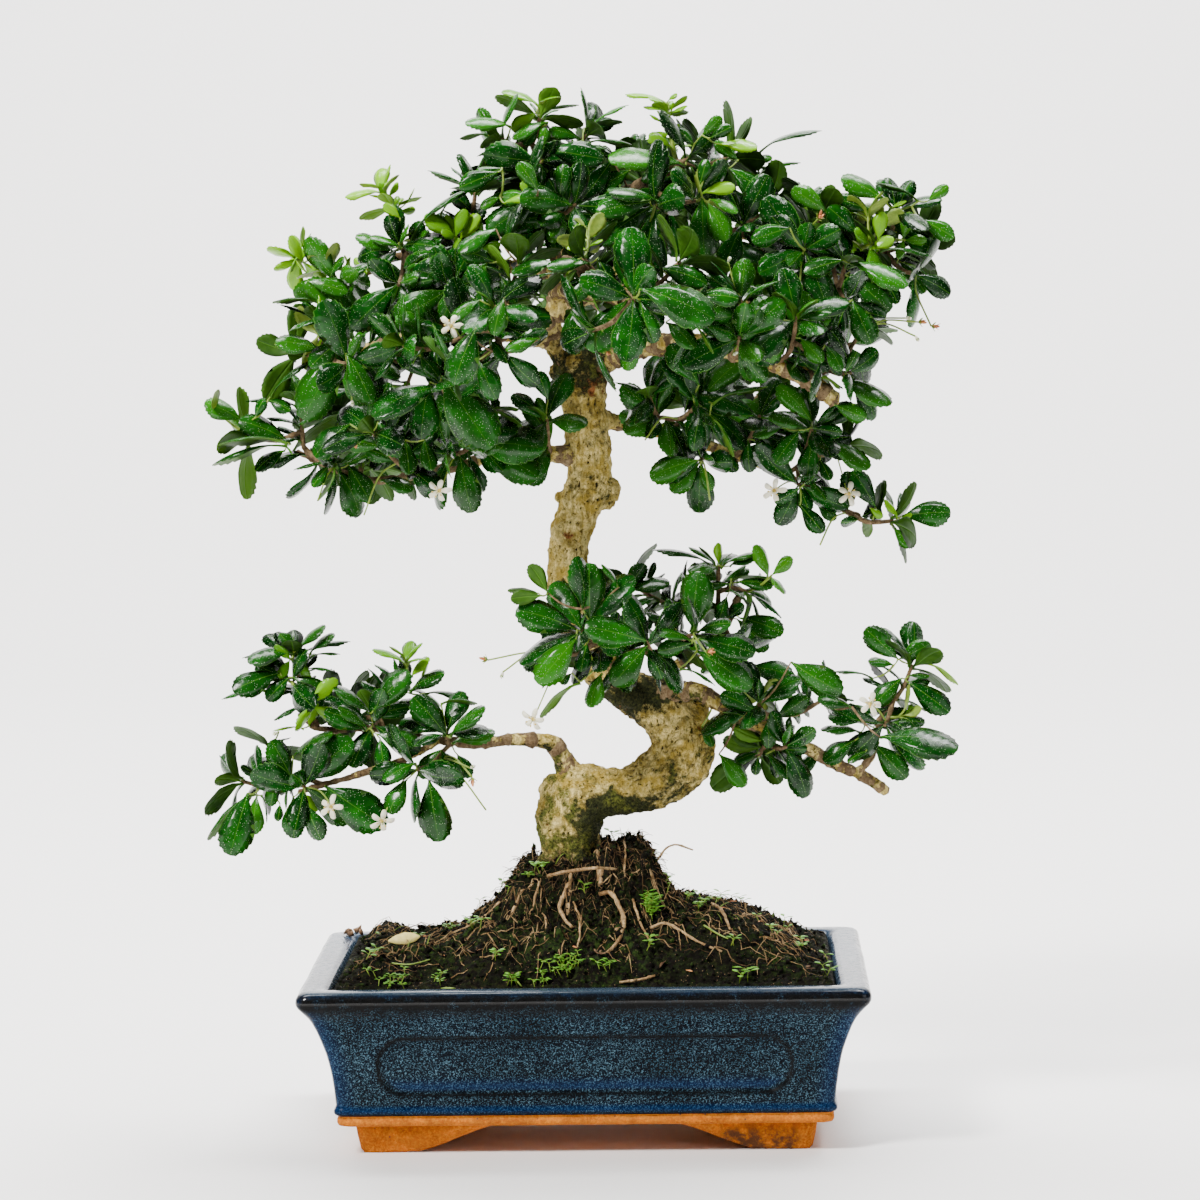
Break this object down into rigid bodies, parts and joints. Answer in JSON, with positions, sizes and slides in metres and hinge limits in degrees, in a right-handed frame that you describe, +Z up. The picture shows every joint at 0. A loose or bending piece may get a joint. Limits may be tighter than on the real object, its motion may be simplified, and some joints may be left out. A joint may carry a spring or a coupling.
{
  "type": "fukien tea bonsai",
  "caption": "Small evergreen bonsai with a curved trunk, leafy sprays and white flowers, in soil in a rectangular glazed pot on low feet.",
  "frame": {"origin": "on the ground under the middle of the whole object's box", "axes": "+Z up, -Y towards the front of the pot, +X to the right seen from the front"},
  "size_m": [0.3368, 0.2286, 0.4661],
  "materials": {
    "glaze": "glossy mottled blue glaze over terracotta",
    "screen": "moulded mesh",
    "soil": "moist crumbled peat",
    "bark": "rough fissured bark",
    "leaf": "glossy waxy leaf",
    "petal": "soft matt petal"
  },
  "bodies": {
    "root": {"pot": "glaze", "drain_screen_left": "screen", "drain_screen_right": "screen", "soil": "soil", "trunk": "bark", "spray_left_tip": "leaf", "spray_left_lower": "leaf", "spray_left_inner": "leaf", "spray_left_trunkside": "leaf", "spray_left_behind": "leaf", "spray_left_mid_tip": "leaf", "spray_left_mid_inner": "leaf", "spray_left_high_tip": "leaf", "spray_left_high_mid": "leaf", "spray_left_high_inner": "leaf", "spray_top": "leaf", "spray_top_front": "leaf", "spray_top_side": "leaf", "spray_top_behind": "leaf", "spray_top_right": "leaf", "spray_top_right_front": "leaf", "spray_top_right_behind": "leaf", "spray_right_high_inner": "leaf", "spray_right_high_mid": "leaf", "spray_right_high_under": "leaf", "spray_right_high_tip": "leaf", "spray_right_high_behind": "leaf", "spray_front": "leaf", "spray_front_left": "leaf", "spray_right_mid_inner": "leaf", "spray_right_mid_outer": "leaf", "spray_right_mid_tip": "leaf", "spray_right_low_inner": "leaf", "spray_right_low_under": "leaf", "spray_right_low_mid": "leaf", "spray_right_low_outer": "leaf", "spray_right_low_tip": "leaf", "spray_right_low_behind": "leaf", "spray_back_left": "leaf", "spray_back_right": "leaf", "spray_back": "leaf", "spray_low_left_tip": "leaf", "spray_low_left_mid": "leaf", "spray_low_left_inner": "leaf", "spray_low_left_under": "leaf", "spray_low_right_mid": "leaf", "spray_low_right_under": "leaf", "spray_low_right_up": "leaf", "spray_mid_front": "leaf", "spray_mid_side": "leaf", "flower_low_left_a": "petal", "flower_low_left_b": "petal", "flower_left": "petal", "flower_left_high": "petal", "flower_middle": "petal", "flower_low_right": "petal", "flower_right": "petal", "flower_right_inner": "petal"}
  },
  "joints": []
}
